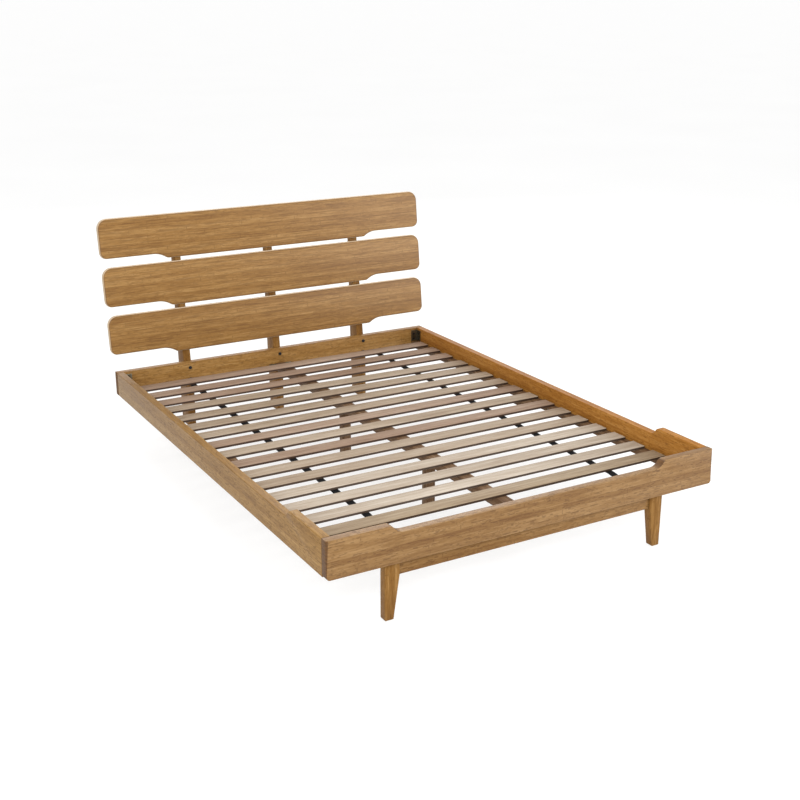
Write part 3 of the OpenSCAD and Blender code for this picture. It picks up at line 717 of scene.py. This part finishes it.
# %% Foot rail
FOOT_UPRIGHT_ROUND = 10.0 * MM
TALLEST_CHAMFER = 30.0 * MM
foot_low, foot_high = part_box("foot_rail")
foot = saw_board("foot_rail_board", "foot_rail", (0, 1, 0))
only(foot)
bpy.ops.object.mode_set(mode="EDIT")



def front_upright(edge):
    ends = [foot.data.vertices[i].co for i in edge.vertices]
    at_corner = all(p.y < foot_low.y + MM and abs(abs(p.x) - foot_high.x) < MM for p in ends)
    return at_corner and abs(ends[0].z - ends[1].z) > TALLEST_CHAMFER


uprights = select_where(foot, "EDGE", front_upright)
bpy.ops.mesh.bevel(offset=FOOT_UPRIGHT_ROUND, segments=6, affect="EDGES")
bpy.ops.object.mode_set(mode="OBJECT")
add_bevel(foot, RAIL_EASE, 3)
dress(foot, "foot_rail", wood["foot"])
print("foot rail uprights rounded:", uprights)

# %% [markdown]
# ## The headboard
# Three planks with generous round-overs lean on three posts. The planks' outline is on the leaning
# front face, so the direction they face is the lean's own normal, taken from the CAD plank: its
# front face has more area than any other.

# %% Planks and posts
PLANK_EASE, POST_EASE = 7.5 * MM, 2.5 * MM
ROUGHLY_THAT_WAY = 0.7


def broad_normal(node, towards):
    """The normal of a node's largest flat face that looks roughly the way of towards."""
    towards = Vector(towards)
    areas = {}
    for face in frame["nodes"][node].data.polygons:
        if face.normal.dot(towards) > ROUGHLY_THAT_WAY:
            key = tuple(round(c, 3) for c in face.normal)
            areas[key] = areas.get(key, 0.0) + face.area
    return max(areas, key=areas.get)


lean_normal = broad_normal("plank_middle", (0, -1, 0))
for plank in ("plank_bottom", "plank_middle", "plank_top"):
    board(plank, lean_normal, wood[plank], PLANK_EASE, 5)
for post in ("headboard_post_left", "headboard_post_center", "headboard_post_right"):
    board(post, (1, 0, 0), wood["post"], POST_EASE)
print("planks face", lean_normal)

# %% [markdown]
# ## Foot legs and apron
# A foot leg is a tapered board with a tongue that rises behind the rail. The leg is sawn from its
# front outline. Then its top face is cut along the back of the rail, and the part behind the cut is
# pulled up to make the tongue.

# %% Foot legs and apron
LEG_EASE, APRON_EASE = 2.0 * MM, 1.5 * MM
FACING_UP = 0.9
rail_back = foot_high.y
for leg in ("foot_leg_left", "foot_leg_right"):
    obj = saw_board(leg + "_board", leg, (0, -1, 0))
    leg_low, leg_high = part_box(leg)
    only(obj)
    bpy.ops.object.mode_set(mode="EDIT")
    bpy.ops.mesh.select_all(action="SELECT")
    bpy.ops.mesh.bisect(plane_co=(0, rail_back, 0), plane_no=(0, 1, 0))
    behind = select_where(obj, "FACE", lambda f: f.normal.z > FACING_UP and f.center.y > rail_back)
    bpy.ops.mesh.extrude_region_move(
        TRANSFORM_OT_translate={"value": (0, 0, leg_high.z - foot_low.z)})
    bpy.ops.object.mode_set(mode="OBJECT")
    add_bevel(obj, LEG_EASE, 2)
    dress(obj, leg, wood["leg"])
    print(f"{obj.name}: tongue faces pulled up: {behind}")
board("foot_apron", (0, -1, 0), wood["apron"], APRON_EASE, 2)

# %% [markdown]
# ## What carries the slats
# Ledgers, beam, centre legs and side blocks are straight sticks with small eased edges.

# %% Slat supports
STICK_EASE, CENTRE_LEG_EASE = 1.2 * MM, 1.5 * MM
for node in (
        "slat_ledger_left", "slat_ledger_right", "centre_beam", "mid_block_left", "mid_block_right"):
    board(node, (0, 0, 1), under_y, STICK_EASE, 2)
for node in ("centre_leg_head", "centre_leg_foot"):
    board(node, (0, -1, 0), under_z, CENTRE_LEG_EASE, 2)

# %% [markdown]
# ## Slats
# Sixteen slats with soft edges, each on its CAD slat's own outline, so the two that have slipped out
# of square are out of square here too. Four tones are dealt out, from rosy near the head to pale
# near the foot, and the last slat at the foot takes a darker tone, which is painted shade.

# %% Slats
SLAT_EASE = 1.6 * MM
slats = sorted(n for n in frame["nodes"] if n.startswith("slat_") and n[5:].isdigit())
for i, node in enumerate(slats):
    board(node, (0, 0, 1), slat_woods[SLAT_DEALT[i]], SLAT_EASE, 2, "slat_mat")

# %% [markdown]
# ## Straps
# A strap is flat webbing, stapled to every slat. Between two slats it hangs down a little, and its
# loose end droops past the last slat. It starts as a box on the CAD strap, is divided along its
# length, and the rings between slats are then lowered, with proportional editing to round the sag.

# %% Straps
STRAP_SAG, TAIL_DROOP = 2.2 * MM, 7.0 * MM
STRAP_RING, STRAP_EASE = 13.0 * MM, 0.4 * MM
SAG_REACH = 4.0 * MM
slat_boxes = [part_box(n) for n in slats]


def strap(node):
    low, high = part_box(node)
    middle, size = (low + high) / 2, high - low
    bpy.ops.object.select_all(action="DESELECT")
    bpy.ops.mesh.primitive_cube_add(size=1.0, location=middle, scale=size)
    obj = bpy.context.active_object
    obj.name = node + "_webbing"
    bpy.ops.object.transform_apply(location=True, rotation=True, scale=True)
    bpy.ops.object.mode_set(mode="EDIT")
    count = round(size.y / STRAP_RING)
    for k in range(1, count):
        bpy.ops.mesh.select_all(action="SELECT")
        bpy.ops.mesh.bisect(plane_co=(0, low.y + size.y * k / count, 0), plane_no=(0, 1, 0))
    edges = sorted((b[0].y, b[1].y) for b in slat_boxes)
    for (_, near), (far, _) in zip(edges, edges[1:]):
        centre = (near + far) / 2
        select_where(obj, "VERT", lambda p: abs(p.co.y - centre) < STRAP_RING * 0.6)
        bpy.ops.transform.translate(
            value=(0, 0, -STRAP_SAG), use_proportional_edit=True, proportional_edit_falloff="SMOOTH",
            proportional_size=(far - near) / 2 + SAG_REACH)
    select_where(obj, "VERT", lambda p: p.co.y < low.y + STRAP_RING * 0.5)
    bpy.ops.transform.translate(
        value=(0, 0, -TAIL_DROOP), use_proportional_edit=True, proportional_edit_falloff="SMOOTH",
        proportional_size=edges[0][0] - low.y - SAG_REACH)
    bpy.ops.mesh.select_all(action="SELECT")
    bpy.ops.mesh.normals_make_consistent(inside=False)
    bpy.ops.object.mode_set(mode="OBJECT")
    add_bevel(obj, STRAP_EASE, 2)
    dress(obj, node, black_webbing, "slat_mat")
    print(f"{obj.name}: {len(obj.data.polygons)} faces")


strap("strap_left")
strap("strap_right")

# %% [markdown]
# ## Brackets and fasteners
# These keep the exact CAD form, with their holes and sockets. A copy is merged, its flat faces are
# dissolved into clean ones, and a very small bevel takes off the sharp edges, as tumbling does to
# real ones.

# %% Brackets, screws, bolts and glides
FLAT_UNDER, MACHINED_SHARP = math.radians(2.0), math.radians(50.0)


def machined(node, material, ease, body="bed_frame"):
    obj = cad_copy(node + "_finished", node)
    bpy.ops.mesh.dissolve_limited(angle_limit=FLAT_UNDER)
    bpy.ops.object.mode_set(mode="OBJECT")
    add_bevel(obj, ease, 2, MACHINED_SHARP)
    dress(obj, node, material, body)
    print(f"{obj.name}: {len(obj.data.polygons)} faces")


for node in frame["nodes"]:
    if "bracket" in node and "screws" not in node:
        machined(node, bronze_steel, 0.4 * MM)
for node in (
        "corner_bracket_screws", "beam_bracket_screws", "mid_block_screws", "foot_leg_bolts",
        "post_bolts"):
    machined(node, black_steel, 0.3 * MM)
for node in ("ledger_screws", "centre_leg_bolts", "plank_screws"):
    machined(node, zinc_steel, 0.2 * MM)
machined("strap_staples", zinc_steel, 0.1 * MM, "slat_mat")
machined("leg_glides", nylon, 0.5 * MM)

# %% [markdown]
# ## Room, light and camera
# A pale floor that glows a little, so that it stays white under the bed, a white sky that fills from
# all sides, and four large soft lights: in front, at the right, behind and above. The camera stands
# off the foot's left corner and looks down at the bed.

# %% Floor
FLOOR_SIZE, FLOOR_DROP = 3000.0, 0.5 * MM
FLOOR_CLOUD_PER_METRE = 0.6
FLOOR_DARK, FLOOR_LIGHT = (0.3, (0.29, 0.29, 0.288)), (0.7, (0.31, 0.31, 0.308))
FLOOR_ROUGH, FLOOR_GLOSS, FLOOR_GLOW = 0.9, 0.1, 0.72
WHITE = (1.0, 1.0, 1.0, 1.0)
bpy.ops.object.select_all(action="DESELECT")
bpy.ops.mesh.primitive_plane_add(size=FLOOR_SIZE, location=(0, 0, -FLOOR_DROP))
floor = bpy.context.active_object
floor.name = "floor"
floor_paint, tree, shader, _, parts = new_material("floor_paint")
cloud = noise(tree, scaled(tree, parts, [FLOOR_CLOUD_PER_METRE] * 3), 2.0)
tree.links.new(ramp(tree, cloud, (FLOOR_DARK, FLOOR_LIGHT)), shader.inputs["Base Color"])
shader.inputs["Roughness"].default_value = FLOOR_ROUGH
shader.inputs["Specular IOR Level"].default_value = FLOOR_GLOSS
shader.inputs["Emission Color"].default_value = WHITE
shader.inputs["Emission Strength"].default_value = FLOOR_GLOW
floor.data.materials.append(floor_paint)
print("floor", FLOOR_SIZE, "m across")

# %% Light
SKY_GLOW = 0.8
SOFT_LIGHTS = {  # place, aim, size, watts
    "front": ((-3.4, -5.0, 3.2), (0.0, 0.3, 0.4), (3.5, 2.5), 250.0),
    "right": ((4.2, -3.4, 1.4), (0.2, 0.3, 0.5), (3.0, 2.6), 150.0),
    "back": ((2.0, 5.2, 3.2), (0.0, 0.0, 0.5), (5.0, 2.5), 120.0),
    "top": ((-0.3, -0.2, 4.5), (0.0, -0.1, 0.2), (3.0, 3.0), 85.0),
}
for name, (place, aim, size, watts) in SOFT_LIGHTS.items():
    data = bpy.data.lights.new(name, "AREA")
    data.shape = "RECTANGLE"
    data.size, data.size_y = size
    data.energy = watts
    light = bpy.data.objects.new(name, data)
    light.location = place
    light.rotation_mode = "QUATERNION"
    light.rotation_quaternion = (Vector(aim) - Vector(place)).to_track_quat("-Z", "Y")
    bpy.context.scene.collection.objects.link(light)
world = bpy.data.worlds.new("studio")
world.use_nodes = True
sky = world.node_tree.nodes["Background"]
sky.inputs["Color"].default_value = WHITE
sky.inputs["Strength"].default_value = SKY_GLOW
bpy.context.scene.world = world
bpy.context.scene.view_settings.view_transform = "Standard"
print("lights:", sorted(SOFT_LIGHTS))

# %% Camera
CAMERA_PLACE = (-2.293, -4.146, 1.956)
LOOK_RIGHT, LOOK_DOWN, ROLL = 30.02, 18.79, 0.1
SENSOR, LENS = 36.0, 54.45
camera_data = bpy.data.cameras.new("camera")
camera_data.sensor_width = SENSOR
camera_data.lens = LENS
camera = bpy.data.objects.new("camera", camera_data)
bpy.context.scene.collection.objects.link(camera)
camera.rotation_mode = "QUATERNION"
right, down = math.radians(LOOK_RIGHT), math.radians(LOOK_DOWN)
look = Vector((math.sin(right), math.cos(right), -math.tan(down)))
camera.location = CAMERA_PLACE
camera.rotation_quaternion = look.to_track_quat("-Z", "Y") @ Quaternion((0, 0, 1), math.radians(ROLL))
bpy.context.scene.camera = camera
print("camera at", tuple(round(c, 3) for c in camera.location))
